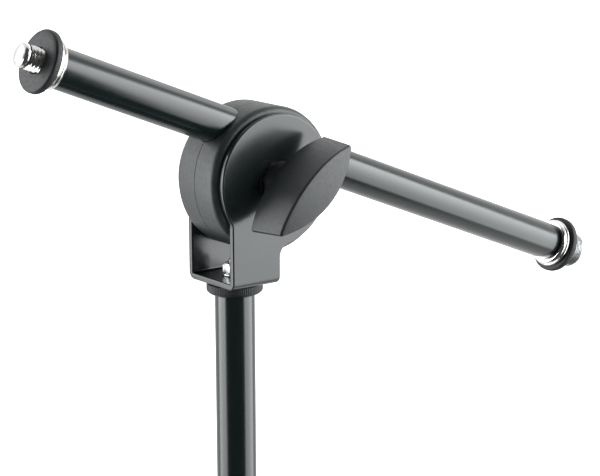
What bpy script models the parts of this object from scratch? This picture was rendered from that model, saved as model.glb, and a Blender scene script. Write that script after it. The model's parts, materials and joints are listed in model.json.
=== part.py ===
"""Boom microphone stand: a round cast base, a telescoping column, a tilting clamp head and a short boom.

Metres, +Z up. The origin is the middle of the base's underside, on the column's axis. The boom swings in
the XZ plane, with its microphone end towards -X, and the wing knob faces -Y.
"""

from math import acos, atan2, cos, pi, radians, sin, sqrt

import bmesh
import bpy
from mathutils import Matrix

# Clearances between neighbouring pieces, and the breaks on their edges.
GAP = 0.0003
SLIP = 0.00015
FINE_EDGE = 0.0006
SOFT_EDGE = 0.0012
OVERRUN = 0.001

# Head: where the tilt axis lies, and the web of the clamp between the bolt and the boom.
SWIVEL_HEIGHT = 0.360
SWIVEL_OFFSET = 0.01023
BOOM_TILT = radians(21.85)
CLAMP_WEB = 0.0021

# Boom.
BOOM_RADIUS = 0.008
BOOM_WALL = 0.001
MIC_REACH = 0.1032
REAR_REACH = 0.1680

# Threaded ends of the boom: 3/8 inch studs, and a 5/8 inch adapter on the rear one.
STUD_RADIUS = 0.00476
STUD_LENGTH = 0.0154
STUD_CHAMFER = 0.0009
FLANGE_THICKNESS = 0.0042
FLANGE_LIP = 0.0024
FLANGE_GROOVE_DEPTH = 0.0010
FLANGE_EDGE = 0.0005
PLUG_DEPTH = 0.016
LOCK_RING_RIM = 0.00415
LOCK_RING_THICKNESS = 0.0030
LOCK_RING_RISE = 0.0003
ADAPTER_RADIUS = 0.0078
ADAPTER_LENGTH = 0.0090
ADAPTER_SLOT = 0.0016

# Sheet-metal bracket.
SHEET = 0.0025
BRACKET_WIDTH = 0.0303
BRACKET_HEAD_ROOM = 0.01227
BRACKET_BEND = 0.0032
CHEEK_RADIUS = 0.02637
CHEEK_NECK = 0.02307
NECK_FILLET = 0.005
BOLT_RADIUS = 0.004
BOLT_HEAD_RADIUS = 0.009
BOLT_HEAD_HEIGHT = 0.0036

# Moulded clamp halves and their friction washers.
CLAMP_RADIUS = 0.0290
CLAMP_EDGE = 0.0026
CLAMP_SPLIT = 0.0006
FRICTION_RADIUS = 0.019
FRICTION_THICKNESS = 0.0008

# Wing knob. The shares are of the knob's depth: how far the bolt, its bore and the insert reach in.
KNOB_LENGTH = 0.0472
KNOB_WIDTH = 0.0144
KNOB_DEPTH = 0.0193
KNOB_CROWN = 0.0030
KNOB_DRAFT = 0.0009
KNOB_TIP = 0.0018
KNOB_TIP_ROUND = 0.0005
KNOB_ANGLE = radians(42.0)
HUB_RADIUS = 0.0082
HUB_DEPTH = 0.0055
HUB_ROOT = 0.003
KNOB_WASHER = 0.0010
INSERT_WALL = 0.0015
INSERT_SHARE = 0.40
BOLT_SHARE = 0.62
BORE_SHARE = 0.66

# Column.
ROD_RADIUS = 0.008
ROD_WALL = 0.00125
ROD_LENGTH = 0.1886
ROD_SHOWN = 0.08263
SOCKET_PLAY = 0.0006
SOCKET_WALL = 0.0014
GUIDE_DEPTH = 0.012
GUIDE_FLANGE = 0.003
SHOULDER_STEP = 0.0015
HEAD_RING_RIM = 0.00325
HEAD_RING_HEIGHT = 0.0045
FIXING_RADIUS = 0.0025
FIXING_NUT_WIDTH = 0.008
FIXING_NUT_HEIGHT = 0.0040
FIXING_WASHER_RADIUS = 0.0048
FIXING_WASHER = 0.0006
FIXING_TIP = 0.0020

# Height clutch.
GRIP_HEIGHT = 0.038
GRIP_WALL = 0.0022
GRIP_NECK = 0.0026
GRIP_TAPER = 0.0070
GRIP_FLUTES = 10
GRIP_FLUTE_RADIUS = 0.0030
GRIP_FLUTE_DEPTH = 0.0009
SLEEVE_WALL = 0.00185
SLEEVE_GRIP = 0.0075
SLEEVE_LIP = 0.003
COLLET_HEIGHT = 0.014
COLLET_NOSE = 0.0014
COLLET_SLIT = 0.002

# Base.
BASE_RADIUS = 0.100
BASE_RIM_HEIGHT = 0.0075
BASE_CROWN_HEIGHT = 0.0125
BASE_RIM_ROUND = 0.0035
BASE_SWELL = 0.0008
BOSS_WALL = 0.0065
BOSS_HEIGHT = 0.018
BOSS_FOOT = 0.003
SOLE_THICKNESS = 0.0025
SOLE_INSET = 0.005
SOCKET_SEAT = 0.004
BASE_SCREW_RADIUS = 0.004
BASE_SCREW_HEAD = 0.013
BASE_SCREW_REACH = 0.014
BASE_SCREW_RECESS = 0.0075
BASE_WASHER = 0.0014
SPANNER_ROOM = 0.004
INSERT_CAP = 0.003
COLLAR_HEIGHT = 0.006
COLLAR_RIM = 0.0045

# Worked out from the sizes above.
BOOM_OFFSET = BOLT_RADIUS + CLAMP_WEB + BOOM_RADIUS
FLANGE_RADIUS = BOOM_RADIUS + FLANGE_LIP
LOCK_RING_RADIUS = BOOM_RADIUS + LOCK_RING_RIM
BRACKET_DROP = CLAMP_RADIUS + BRACKET_HEAD_ROOM
BRACKET_UNDERSIDE = SWIVEL_HEIGHT - BRACKET_DROP
CHEEK_OUTER = BRACKET_WIDTH / 2
CHEEK_INNER = CHEEK_OUTER - SHEET
CLAMP_FACE = CHEEK_INNER - GAP
HEAD_RING_RADIUS = ROD_RADIUS + HEAD_RING_RIM
HEAD_RING_TOP = BRACKET_UNDERSIDE - GAP
HEAD_RING_BOTTOM = HEAD_RING_TOP - HEAD_RING_HEIGHT
ROD_TOP = HEAD_RING_BOTTOM - GAP
ROD_BORE = ROD_RADIUS - ROD_WALL
SOCKET_BORE = ROD_RADIUS + SOCKET_PLAY
SOCKET_RADIUS = SOCKET_BORE + SOCKET_WALL
CASTING_UNDERSIDE = SOLE_THICKNESS + GAP
BOSS_RADIUS = SOCKET_RADIUS + BOSS_WALL
BOSS_TOP = CASTING_UNDERSIDE + BOSS_HEIGHT
SOCKET_BOTTOM = BOSS_TOP - SOCKET_SEAT + GAP
COLLAR_RADIUS = SOCKET_RADIUS + COLLAR_RIM
SLEEVE_RADIUS = SOCKET_RADIUS + SLIP + SLEEVE_WALL
GRIP_BORE = SLEEVE_RADIUS + GAP
GRIP_RADIUS = GRIP_BORE + GRIP_WALL
GRIP_TOP = ROD_TOP - ROD_SHOWN
GRIP_BOTTOM = GRIP_TOP - GRIP_HEIGHT
SLEEVE_BOTTOM = GRIP_BOTTOM + GAP
SOCKET_TOP = SLEEVE_BOTTOM + SLEEVE_GRIP + GAP
SLEEVE_TOP = SOCKET_TOP + GAP + SLEEVE_LIP


def clear_scene():
    for old in list(bpy.data.objects):
        bpy.data.objects.remove(old, do_unlink=True)


def new_collection(name):
    collection = bpy.data.collections.new(name)
    bpy.context.scene.collection.children.link(collection)
    return collection


clear_scene()
PARTS = new_collection("boom_microphone_stand")
CUTTERS = new_collection("cutters")


def finish_of(name, colour, roughness, metallic=0.0):
    """A material with one Principled BSDF."""
    material = bpy.data.materials.new(name)
    material.use_nodes = True
    shader = material.node_tree.nodes["Principled BSDF"]
    shader.inputs["Base Color"].default_value = (*colour, 1.0)
    shader.inputs["Roughness"].default_value = roughness
    shader.inputs["Metallic"].default_value = metallic
    return material


GLOSS_BLACK = finish_of("gloss_black_paint", (0.008, 0.008, 0.009), 0.12)
SATIN_BLACK = finish_of("satin_black_powder_coat", (0.020, 0.021, 0.022), 0.32)
MOULDED_BLACK = finish_of("moulded_black_nylon", (0.030, 0.031, 0.033), 0.55)
RUBBER_BLACK = finish_of("black_rubber", (0.018, 0.018, 0.018), 0.85)
CAST_BLACK = finish_of("hammered_black_casting", (0.022, 0.022, 0.023), 0.45, 0.2)
CHROME = finish_of("chrome_plate", (0.80, 0.80, 0.80), 0.08, 1.0)
ZINC = finish_of("bright_zinc_plate", (0.66, 0.67, 0.68), 0.25, 1.0)
BRASS = finish_of("brass_insert", (0.70, 0.52, 0.22), 0.30, 1.0)
FIBRE = finish_of("friction_fibre", (0.16, 0.10, 0.06), 0.80)


def pivot(name, matrix, parent=None):
    """An empty that stands on a joint's axis. The matrix is in the parent's frame."""
    empty = bpy.data.objects.new(name, None)
    empty.empty_display_size = 0.01
    PARTS.objects.link(empty)
    empty.parent = parent
    empty.matrix_basis = matrix
    return empty


def place(obj, parent=None, matrix=None):
    obj.parent = parent
    obj.matrix_basis = matrix or Matrix.Identity(4)
    return obj


def add_part(name, mesh, material, parent=None, matrix=None):
    obj = bpy.data.objects.new(name, mesh)
    mesh.materials.append(material)
    PARTS.objects.link(obj)
    return place(obj, parent, matrix)


def add_cutter(name, mesh, parent=None, matrix=None):
    obj = bpy.data.objects.new(name, mesh)
    CUTTERS.objects.link(obj)
    obj.hide_render = True
    obj.display_type = "WIRE"
    return place(obj, parent, matrix)


def boolean(obj, other, operation):
    modifier = obj.modifiers.new(operation.lower(), "BOOLEAN")
    modifier.operation = operation
    modifier.solver = "EXACT"
    modifier.object = other
    return modifier


def shade_round(mesh):
    mesh.shade_smooth()
    mesh.set_sharp_from_angle(angle=radians(35))


def turned_mesh(name, profile, segments, closed):
    """A turned body about Z. The profile's (radius, height) points run down the outer side."""
    outline = bmesh.new()
    points = [outline.verts.new((radius, 0, height)) for radius, height in profile]
    for first, second in zip(points, points[1:]):
        outline.edges.new((first, second))
    if closed:
        outline.edges.new((points[-1], points[0]))
    mesh = bpy.data.meshes.new(name + "_profile")
    outline.to_mesh(mesh)
    outline.free()
    guide = bpy.data.objects.new(name + "_guide", mesh)
    CUTTERS.objects.link(guide)
    screw = guide.modifiers.new("turn", "SCREW")
    screw.steps = segments
    screw.render_steps = segments
    screw.use_merge_vertices = True
    screw.merge_threshold = 0.00001
    bpy.context.view_layer.update()
    turned = bpy.data.meshes.new_from_object(guide.evaluated_get(bpy.context.evaluated_depsgraph_get()))
    bpy.data.objects.remove(guide, do_unlink=True)
    turned.name = name
    shade_round(turned)
    return turned


def solid_of_revolution(name, profile, segments=28):
    """A turned body that reaches its axis at both ends of the profile."""
    return turned_mesh(name, profile, segments, closed=False)


def ring_of_revolution(name, profile, segments=28):
    """A turned body with a hole through it."""
    return turned_mesh(name, profile, segments, closed=True)


def cylinder_profile(radius, bottom, top):
    return [(0, top), (radius, top), (radius, bottom), (0, bottom)]


def tube_profile(outer, inner, bottom, top):
    return [(outer, top), (outer, bottom), (inner, bottom), (inner, top)]


def prism_mesh(name, outline, depth):
    """A flat outline in XY, filled and made thick along Z, centred on the plane."""
    curve = bpy.data.curves.new(name + "_outline", "CURVE")
    curve.dimensions = "2D"
    curve.fill_mode = "BOTH"
    curve.extrude = depth / 2
    spline = curve.splines.new("POLY")
    spline.points.add(len(outline) - 1)
    for point, (x, y) in zip(spline.points, outline):
        point.co = (x, y, 0, 1)
    spline.use_cyclic_u = True
    guide = bpy.data.objects.new(name + "_guide", curve)
    CUTTERS.objects.link(guide)
    bpy.context.view_layer.update()
    mesh = bpy.data.meshes.new_from_object(guide.evaluated_get(bpy.context.evaluated_depsgraph_get()))
    bpy.data.objects.remove(guide, do_unlink=True)
    work = bmesh.new()
    work.from_mesh(mesh)
    bmesh.ops.remove_doubles(work, verts=work.verts, dist=0.00001)
    bmesh.ops.recalc_face_normals(work, faces=work.faces)
    work.to_mesh(mesh)
    work.free()
    mesh.name = name
    shade_round(mesh)
    return mesh


def arc(centre, radius, start, end, steps):
    """Points of an arc from one angle to another, both ends included."""
    angles = (start + (end - start) * step / steps for step in range(steps + 1))
    return [(centre[0] + radius * cos(angle), centre[1] + radius * sin(angle)) for angle in angles]


def hexagon(width):
    """A hexagon measured across its flats."""
    return arc((0, 0), width / sqrt(3), 0, 2 * pi * 5 / 6, 5)


def box_mesh(name, size):
    work = bmesh.new()
    bmesh.ops.create_cube(work, size=1, matrix=Matrix.Diagonal((*size, 1)))
    mesh = bpy.data.meshes.new(name)
    work.to_mesh(mesh)
    work.free()
    return mesh


def slide_z(height):
    return Matrix.Translation((0, 0, height))


# Joint axes. The tilt pivot's Z points out of the knob side, and the boom pivot's Z towards the rear end.
FORWARD = Matrix.Rotation(pi / 2, 4, "X")
BACKWARD = Matrix.Rotation(pi, 4, "X")
column_axis = pivot("column_axis", Matrix.Identity(4))
tilt_axis = pivot(
    "tilt_axis", Matrix.Translation((SWIVEL_OFFSET, 0, SWIVEL_HEIGHT)) @ FORWARD, column_axis
)
tilt_axis_rear = pivot("tilt_axis_rear", BACKWARD, tilt_axis)
boom_axis = pivot(
    "boom_axis",
    Matrix.Rotation(-BOOM_TILT, 4, "Z")
    @ Matrix.Translation((0, BOOM_OFFSET, 0))
    @ Matrix.Rotation(pi / 2, 4, "Y"),
    tilt_axis,
)
rear_end = pivot("rear_end", slide_z(REAR_REACH), boom_axis)
mic_end = pivot("mic_end", slide_z(-MIC_REACH) @ Matrix.Rotation(pi, 4, "Y"), boom_axis)


def make_base():
    """Cast-iron disc with a hollow for the screw head underneath and a boss for the column on top."""
    crown = CASTING_UNDERSIDE + BASE_CROWN_HEIGHT
    rim = CASTING_UNDERSIDE + BASE_RIM_HEIGHT
    washer_seat = CASTING_UNDERSIDE + BASE_SCREW_RECESS
    recess = BASE_SCREW_HEAD / sqrt(3) + SPANNER_ROOM
    bore = BASE_SCREW_RADIUS + GAP
    socket = SOCKET_RADIUS + SLIP
    profile = [
        (socket, BOSS_TOP),
        (BOSS_RADIUS - SOFT_EDGE, BOSS_TOP),
        (BOSS_RADIUS, BOSS_TOP - SOFT_EDGE),
        (BOSS_RADIUS + BOSS_FOOT / 4, crown + BOSS_FOOT / 2),
        (BOSS_RADIUS + BOSS_FOOT, crown),
        ((BASE_RADIUS + BOSS_RADIUS) / 2, (crown + rim) / 2 + BASE_SWELL),
        (BASE_RADIUS - BASE_RIM_ROUND, rim),
        (BASE_RADIUS - BASE_RIM_ROUND / 3, rim - BASE_RIM_ROUND / 3),
        (BASE_RADIUS, rim - BASE_RIM_ROUND),
        (BASE_RADIUS, CASTING_UNDERSIDE + SOFT_EDGE),
        (BASE_RADIUS - SOFT_EDGE, CASTING_UNDERSIDE),
        (recess, CASTING_UNDERSIDE),
        (recess, washer_seat),
        (bore, washer_seat),
        (bore, SOCKET_BOTTOM - GAP),
        (socket, SOCKET_BOTTOM - GAP),
    ]
    casting = ring_of_revolution("base_casting", profile, 60)
    add_part("base_casting", casting, CAST_BLACK, column_axis)

    sole_radius = BASE_RADIUS - SOLE_INSET
    sole_profile = cylinder_profile(sole_radius, 0, SOLE_THICKNESS)
    add_part("base_sole", solid_of_revolution("base_sole", sole_profile, 48), RUBBER_BLACK, column_axis)

    washer_top = washer_seat - GAP / 2
    washer_bottom = washer_top - BASE_WASHER
    washer_profile = tube_profile(BASE_SCREW_RADIUS * 2, bore, washer_bottom, washer_top)
    washer = ring_of_revolution("base_washer", washer_profile, 24)
    add_part("base_washer", washer, ZINC, column_axis)

    head_top = washer_bottom - GAP / 2
    head_bottom = CASTING_UNDERSIDE
    shank_top = SOCKET_BOTTOM + BASE_SCREW_REACH
    shank = solid_of_revolution(
        "base_screw", cylinder_profile(BASE_SCREW_RADIUS, (head_top + head_bottom) / 2, shank_top), 24
    )
    screw = add_part("base_screw", shank, ZINC, column_axis)
    head_mesh = prism_mesh("base_screw_head", hexagon(BASE_SCREW_HEAD), head_top - head_bottom)
    head_place = slide_z((head_top + head_bottom) / 2)
    head = add_cutter("base_screw_head", head_mesh, column_axis, head_place)
    boolean(screw, head, "UNION")


def make_socket_tube():
    """Fixed lower tube of the column, with the threaded plug that the base screw pulls on."""
    tube = ring_of_revolution(
        "lower_tube", tube_profile(SOCKET_RADIUS, SOCKET_BORE, SOCKET_BOTTOM, SOCKET_TOP), 36
    )
    add_part("lower_tube", tube, GLOSS_BLACK, column_axis)

    bore = BASE_SCREW_RADIUS + SLIP
    bore_top = SOCKET_BOTTOM + BASE_SCREW_REACH + OVERRUN
    insert_top = bore_top + INSERT_CAP
    profile = [
        (0, insert_top),
        (SOCKET_BORE - SLIP, insert_top),
        (SOCKET_BORE - SLIP, SOCKET_BOTTOM),
        (bore, SOCKET_BOTTOM),
        (bore, bore_top),
        (0, bore_top),
    ]
    add_part("tube_foot_insert", solid_of_revolution("tube_foot_insert", profile, 28), ZINC, column_axis)

    collar_bottom = BOSS_TOP + GAP
    collar_bore = SOCKET_RADIUS + SLIP
    collar_profile = [
        (collar_bore + SOFT_EDGE, collar_bottom + COLLAR_HEIGHT),
        (COLLAR_RADIUS - SOFT_EDGE, collar_bottom + COLLAR_HEIGHT / 2),
        (COLLAR_RADIUS, collar_bottom + COLLAR_HEIGHT / 4),
        (COLLAR_RADIUS, collar_bottom),
        (collar_bore, collar_bottom),
        (collar_bore, collar_bottom + COLLAR_HEIGHT),
    ]
    add_part("foot_collar", ring_of_revolution("foot_collar", collar_profile), MOULDED_BLACK, column_axis)


def make_clutch():
    """Threaded sleeve on the lower tube, split collet on the rod, and the grip that squeezes it."""
    rod_hole = ROD_RADIUS + GAP
    sleeve_bore = SOCKET_RADIUS + SLIP
    sleeve_profile = [
        (SLEEVE_RADIUS, SLEEVE_TOP),
        (SLEEVE_RADIUS, SLEEVE_BOTTOM),
        (sleeve_bore, SLEEVE_BOTTOM),
        (sleeve_bore, SOCKET_TOP + GAP),
        (rod_hole, SOCKET_TOP + GAP),
        (rod_hole, SLEEVE_TOP),
    ]
    sleeve = ring_of_revolution("clutch_sleeve", sleeve_profile)
    add_part("clutch_sleeve", sleeve, SATIN_BLACK, column_axis)

    collet_bottom = SLEEVE_TOP + GAP
    collet_top = collet_bottom + COLLET_HEIGHT
    collet_foot = GRIP_BORE - 2 * GAP
    collet_nose = ROD_RADIUS + COLLET_NOSE
    collet_shoulder = collet_bottom + COLLET_HEIGHT / 4
    collet_bore = ROD_RADIUS + SLIP
    collet_profile = [
        (collet_nose, collet_top),
        (collet_foot, collet_shoulder),
        (collet_foot, collet_bottom),
        (collet_bore, collet_bottom),
        (collet_bore, collet_top),
    ]
    collet_mesh = ring_of_revolution("clutch_collet", collet_profile)
    collet = add_part("clutch_collet", collet_mesh, MOULDED_BLACK, column_axis)
    slit_mesh = box_mesh("collet_slit", (GRIP_BORE, COLLET_SLIT, 2 * COLLET_HEIGHT))
    slit_middle = (GRIP_BORE + ROD_RADIUS) / 2
    slit_place = Matrix.Translation((slit_middle, 0, (collet_bottom + collet_top) / 2))
    slit = add_cutter("collet_slit", slit_mesh, column_axis, slit_place)
    boolean(collet, slit, "DIFFERENCE")

    grip_profile = [
        (rod_hole, GRIP_TOP),
        (ROD_RADIUS + GRIP_NECK, GRIP_TOP),
        (GRIP_RADIUS - SOFT_EDGE, GRIP_TOP - GRIP_TAPER / 2),
        (GRIP_RADIUS, GRIP_TOP - GRIP_TAPER),
        (GRIP_RADIUS, GRIP_BOTTOM + SOFT_EDGE),
        (GRIP_RADIUS - SOFT_EDGE, GRIP_BOTTOM),
        (GRIP_BORE, GRIP_BOTTOM),
        (GRIP_BORE, collet_shoulder + GAP),
        (collet_nose + GAP, collet_top + GAP),
        (rod_hole, collet_top + GAP),
    ]
    grip_mesh = ring_of_revolution("clutch_grip", grip_profile, 40)
    grip = add_part("clutch_grip", grip_mesh, RUBBER_BLACK, column_axis)
    flute_distance = GRIP_RADIUS + GRIP_FLUTE_RADIUS - GRIP_FLUTE_DEPTH
    flute_bottom = GRIP_BOTTOM + 2 * SOFT_EDGE
    flute_top = GRIP_TOP - GRIP_TAPER - SOFT_EDGE
    flute_profile = [
        (0, flute_top + GRIP_FLUTE_RADIUS / 2),
        (GRIP_FLUTE_RADIUS, flute_top),
        (GRIP_FLUTE_RADIUS, flute_bottom),
        (0, flute_bottom - GRIP_FLUTE_RADIUS / 2),
    ]
    for index in range(GRIP_FLUTES):
        around = Matrix.Rotation((index + 0.5) * 2 * pi / GRIP_FLUTES, 4, "Z")
        name = f"grip_flute_{index}"
        flute = add_cutter(
            name,
            solid_of_revolution(name, flute_profile, 12),
            column_axis,
            around @ Matrix.Translation((flute_distance, 0, 0)),
        )
        boolean(grip, flute, "DIFFERENCE")


def make_rod():
    """Sliding upper rod, its guide plug, the threaded insert in its top, and the ring under the bracket."""
    rod_bottom = ROD_TOP - ROD_LENGTH
    rod = ring_of_revolution("upper_rod", tube_profile(ROD_RADIUS, ROD_BORE, rod_bottom, ROD_TOP), 40)
    add_part("upper_rod", rod, GLOSS_BLACK, column_axis)

    plug_top = rod_bottom + GUIDE_DEPTH
    flange_top = rod_bottom - GAP
    flange_bottom = flange_top - GUIDE_FLANGE
    plug_radius = ROD_BORE - SLIP
    flange_radius = SOCKET_BORE - SLIP
    plug_profile = [
        (0, plug_top),
        (plug_radius - FINE_EDGE, plug_top),
        (plug_radius, plug_top - 3 * FINE_EDGE),
        (plug_radius, flange_top),
        (flange_radius, flange_top),
        (flange_radius, flange_bottom + FINE_EDGE),
        (flange_radius - FINE_EDGE, flange_bottom),
        (0, flange_bottom),
    ]
    plug = solid_of_revolution("rod_end_plug", plug_profile)
    add_part("rod_end_plug", plug, MOULDED_BLACK, column_axis)

    shoulder = ROD_BORE - SLIP - SHOULDER_STEP
    shoulder_top = BRACKET_UNDERSIDE - GAP
    washer_bottom = BRACKET_UNDERSIDE + SHEET + GAP / 2
    washer_top = washer_bottom + FIXING_WASHER
    nut_bottom = washer_top + GAP / 2
    nut_top = nut_bottom + FIXING_NUT_HEIGHT
    tip = nut_top + FIXING_TIP
    insert_profile = [
        (0, tip),
        (FIXING_RADIUS - FINE_EDGE, tip),
        (FIXING_RADIUS, tip - FINE_EDGE),
        (FIXING_RADIUS, shoulder_top),
        (shoulder, shoulder_top),
        (shoulder, ROD_TOP),
        (ROD_BORE - SLIP, ROD_TOP),
        (ROD_BORE - SLIP, ROD_TOP - PLUG_DEPTH),
        (0, ROD_TOP - PLUG_DEPTH),
    ]
    insert = solid_of_revolution("rod_top_insert", insert_profile)
    add_part("rod_top_insert", insert, ZINC, column_axis)

    ring_bore = shoulder + GAP
    ring_profile = [
        (HEAD_RING_RADIUS - FINE_EDGE, HEAD_RING_TOP),
        (HEAD_RING_RADIUS, HEAD_RING_TOP - FINE_EDGE),
        (HEAD_RING_RADIUS, HEAD_RING_BOTTOM + SOFT_EDGE),
        (HEAD_RING_RADIUS - SOFT_EDGE, HEAD_RING_BOTTOM + GAP),
        (HEAD_RING_RADIUS - SOFT_EDGE - FINE_EDGE, HEAD_RING_BOTTOM),
        (ring_bore, HEAD_RING_BOTTOM),
        (ring_bore, HEAD_RING_TOP),
    ]
    ring = ring_of_revolution("head_lock_ring", ring_profile, 32)
    add_part("head_lock_ring", ring, MOULDED_BLACK, column_axis)

    bore = FIXING_RADIUS + SLIP
    washer = ring_of_revolution(
        "bracket_washer", tube_profile(FIXING_WASHER_RADIUS, bore, washer_bottom, washer_top), 28
    )
    add_part("bracket_washer", washer, ZINC, column_axis)

    nut_mesh = prism_mesh("bracket_nut", hexagon(FIXING_NUT_WIDTH), FIXING_NUT_HEIGHT)
    nut_place = slide_z((nut_bottom + nut_top) / 2)
    nut = add_part("bracket_nut", nut_mesh, ZINC, column_axis, nut_place)
    hole_profile = cylinder_profile(bore, -FIXING_NUT_HEIGHT, FIXING_NUT_HEIGHT)
    hole = add_cutter("nut_hole", solid_of_revolution("nut_hole", hole_profile, 24), column_axis, nut_place)
    boolean(nut, hole, "DIFFERENCE")


def cheek_outline():
    """Round cheek on an offset neck, seen along -Y from the front, with the swivel axis at the origin."""
    left = -SWIVEL_OFFSET - CHEEK_NECK / 2
    right = -SWIVEL_OFFSET + CHEEK_NECK / 2
    bottom = -BRACKET_DROP - OVERRUN
    reach = CHEEK_RADIUS + NECK_FILLET
    right_centre = (right + NECK_FILLET, -sqrt(reach**2 - (right + NECK_FILLET) ** 2))
    left_centre = (left - NECK_FILLET, -sqrt(reach**2 - (left - NECK_FILLET) ** 2))
    right_angle = atan2(right_centre[1], right_centre[0])
    left_angle = atan2(left_centre[1], left_centre[0])
    outline = [(left, bottom), (right, bottom)]
    outline += arc(right_centre, NECK_FILLET, pi, right_angle + pi, 5)
    outline += arc((0, 0), CHEEK_RADIUS, right_angle, left_angle + 2 * pi, 48)[1:]
    outline += arc(left_centre, NECK_FILLET, left_angle + pi, 0, 3)[1:]
    return outline


def channel_outline():
    """The bracket's U section: X is across the bracket and Y is up, with the swivel axis at the origin."""
    top = CHEEK_RADIUS + OVERRUN
    bottom = -BRACKET_DROP
    outer = BRACKET_BEND
    inner = max(BRACKET_BEND - SHEET, GAP)
    floor = bottom + SHEET
    outline = [(-CHEEK_OUTER, top)]
    outline += arc((-CHEEK_OUTER + outer, bottom + outer), outer, pi, pi * 1.5, 5)
    outline += arc((CHEEK_OUTER - outer, bottom + outer), outer, -pi / 2, 0, 5)
    outline += [(CHEEK_OUTER, top), (CHEEK_INNER, top)]
    outline += arc((CHEEK_INNER - inner, floor + inner), inner, 0, -pi / 2, 3)
    outline += arc((-CHEEK_INNER + inner, floor + inner), inner, -pi / 2, -pi, 3)
    outline += [(-CHEEK_INNER, top)]
    return outline


def make_bracket():
    """One strip of sheet bent to a U, cut to round cheeks, and the coach bolt held in its rear cheek."""
    channel = prism_mesh("head_bracket", channel_outline(), 4 * CHEEK_RADIUS)
    across = Matrix.Rotation(pi / 2, 4, "Y")
    bracket = add_part("head_bracket", channel, SATIN_BLACK, tilt_axis, across)
    cheek_mesh = prism_mesh("cheek_shape", cheek_outline(), 2 * BRACKET_WIDTH)
    boolean(bracket, add_cutter("cheek_shape", cheek_mesh, tilt_axis), "INTERSECT")
    front_profile = cylinder_profile(BOLT_RADIUS + GAP, 0, BRACKET_WIDTH)
    front_mesh = solid_of_revolution("front_bolt_hole", front_profile)
    boolean(bracket, add_cutter("front_bolt_hole", front_mesh, tilt_axis), "DIFFERENCE")
    neck = 2 * (BOLT_RADIUS + GAP)
    rear_mesh = box_mesh("rear_bolt_hole", (neck, neck, BRACKET_WIDTH))
    rear = add_cutter("rear_bolt_hole", rear_mesh, tilt_axis, slide_z(-BRACKET_WIDTH / 2))
    boolean(bracket, rear, "DIFFERENCE")
    hole_bottom = BRACKET_UNDERSIDE - SHEET
    hole_profile = cylinder_profile(FIXING_RADIUS + GAP, hole_bottom, hole_bottom + 3 * SHEET)
    hole_mesh = solid_of_revolution("fixing_hole", hole_profile, 24)
    boolean(bracket, add_cutter("fixing_hole", hole_mesh, column_axis), "DIFFERENCE")

    head_face = CHEEK_OUTER + GAP / 2
    shank_end = -(KNOB_BACK + KNOB_DEPTH * BOLT_SHARE)
    dome_steps = 5
    dome = [(0, head_face + BOLT_HEAD_HEIGHT)]
    for step in range(1, dome_steps + 1):
        turn = pi / 2 * step / dome_steps
        height = FINE_EDGE + (BOLT_HEAD_HEIGHT - FINE_EDGE) * cos(turn)
        dome.append((BOLT_HEAD_RADIUS * sin(turn), head_face + height))
    shank = [
        (BOLT_HEAD_RADIUS, head_face),
        (BOLT_RADIUS, head_face),
        (BOLT_RADIUS, shank_end + FINE_EDGE),
        (BOLT_RADIUS - FINE_EDGE, shank_end),
        (0, shank_end),
    ]
    bolt_mesh = solid_of_revolution("swivel_bolt", dome + shank, 32)
    bolt = add_part("swivel_bolt", bolt_mesh, ZINC, tilt_axis_rear)
    square_mesh = box_mesh("square_neck", (2 * BOLT_RADIUS, 2 * BOLT_RADIUS, SHEET))
    square_place = slide_z(head_face - SHEET / 2 + GAP)
    square = add_cutter("square_neck", square_mesh, tilt_axis_rear, square_place)
    boolean(bolt, square, "UNION")


def make_clamp():
    """Two moulded halves that close on the boom, each with a thin friction washer in its outer face."""
    bore = BOLT_RADIUS + 2 * SLIP
    recess_floor = CLAMP_FACE - FRICTION_THICKNESS
    recess = FRICTION_RADIUS + GAP
    edge_centre = (CLAMP_RADIUS - CLAMP_EDGE, CLAMP_FACE - CLAMP_EDGE)
    rounded = [
        (edge_centre[0] + CLAMP_EDGE * sin(turn), edge_centre[1] + CLAMP_EDGE * cos(turn))
        for turn in (pi / 2 * step / 4 for step in range(5))
    ]
    profile = [
        (recess, CLAMP_FACE),
        *rounded,
        (CLAMP_RADIUS, CLAMP_SPLIT / 2),
        (bore, CLAMP_SPLIT / 2),
        (bore, recess_floor),
        (recess, recess_floor),
    ]
    boom_hole = cylinder_profile(BOOM_RADIUS + SLIP, -2 * CLAMP_RADIUS, 2 * CLAMP_RADIUS)
    cutter = add_cutter("boom_hole", solid_of_revolution("boom_hole", boom_hole, 40), boom_axis)
    for side, axis in (("front", tilt_axis), ("rear", tilt_axis_rear)):
        name = f"clamp_half_{side}"
        half = add_part(name, ring_of_revolution(name, profile, 48), MOULDED_BLACK, axis)
        boolean(half, cutter, "DIFFERENCE")
        name = f"friction_washer_{side}"
        bottom = recess_floor + SLIP
        washer_profile = tube_profile(FRICTION_RADIUS, bore, bottom, bottom + FRICTION_THICKNESS)
        add_part(name, ring_of_revolution(name, washer_profile, 24), FIBRE, axis)


# The knob's hub stands on a washer outside the front cheek.
KNOB_WASHER_BACK = CHEEK_OUTER + GAP
HUB_BACK = KNOB_WASHER_BACK + KNOB_WASHER + GAP
KNOB_BACK = HUB_BACK + HUB_DEPTH


# The leaf's face is two equal arcs, whose crossing points lie KNOB_LENGTH apart.
LEAF_RADIUS = ((KNOB_LENGTH / 2) ** 2 + (KNOB_WIDTH / 2) ** 2) / KNOB_WIDTH
LEAF_RISE = LEAF_RADIUS - KNOB_WIDTH / 2


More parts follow.
